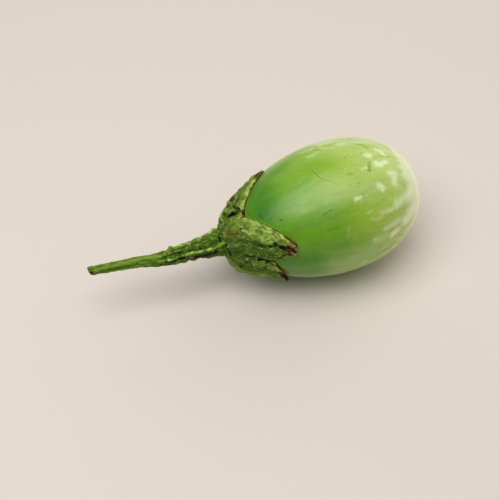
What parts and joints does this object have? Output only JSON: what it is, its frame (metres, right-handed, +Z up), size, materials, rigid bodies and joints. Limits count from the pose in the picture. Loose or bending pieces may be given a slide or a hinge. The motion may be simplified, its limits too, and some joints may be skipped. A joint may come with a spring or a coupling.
{
  "type": "green eggplant",
  "caption": "Small oval green eggplant with pale streaks towards its blossom end, lying on its side, with its pointed leafy calyx and the ribbed stalk it was picked by.",
  "frame": {"origin": "the middle of the small flat spot that the fruit rests on", "axes": "+X from the stalk to the blossom end, +Z up from the surface that it rests on, -Y the side with the two widest-open sepals"},
  "size_m": [0.1469, 0.0576, 0.058],
  "materials": {
    "skin": "smooth waxy skin with a soft gloss, deep green by the calyx, fading to pale yellow-green with cream streaks at the blossom end",
    "calyx_leaf": "matt, finely felted leaf with raised midribs and dry brown edges",
    "stalk_rind": "matt green rind with lengthwise ribs and small warts, and a dry cut end"
  },
  "bodies": {
    "root": {"fruit": "skin", "calyx": "calyx_leaf", "stalk": "stalk_rind"}
  },
  "joints": []
}
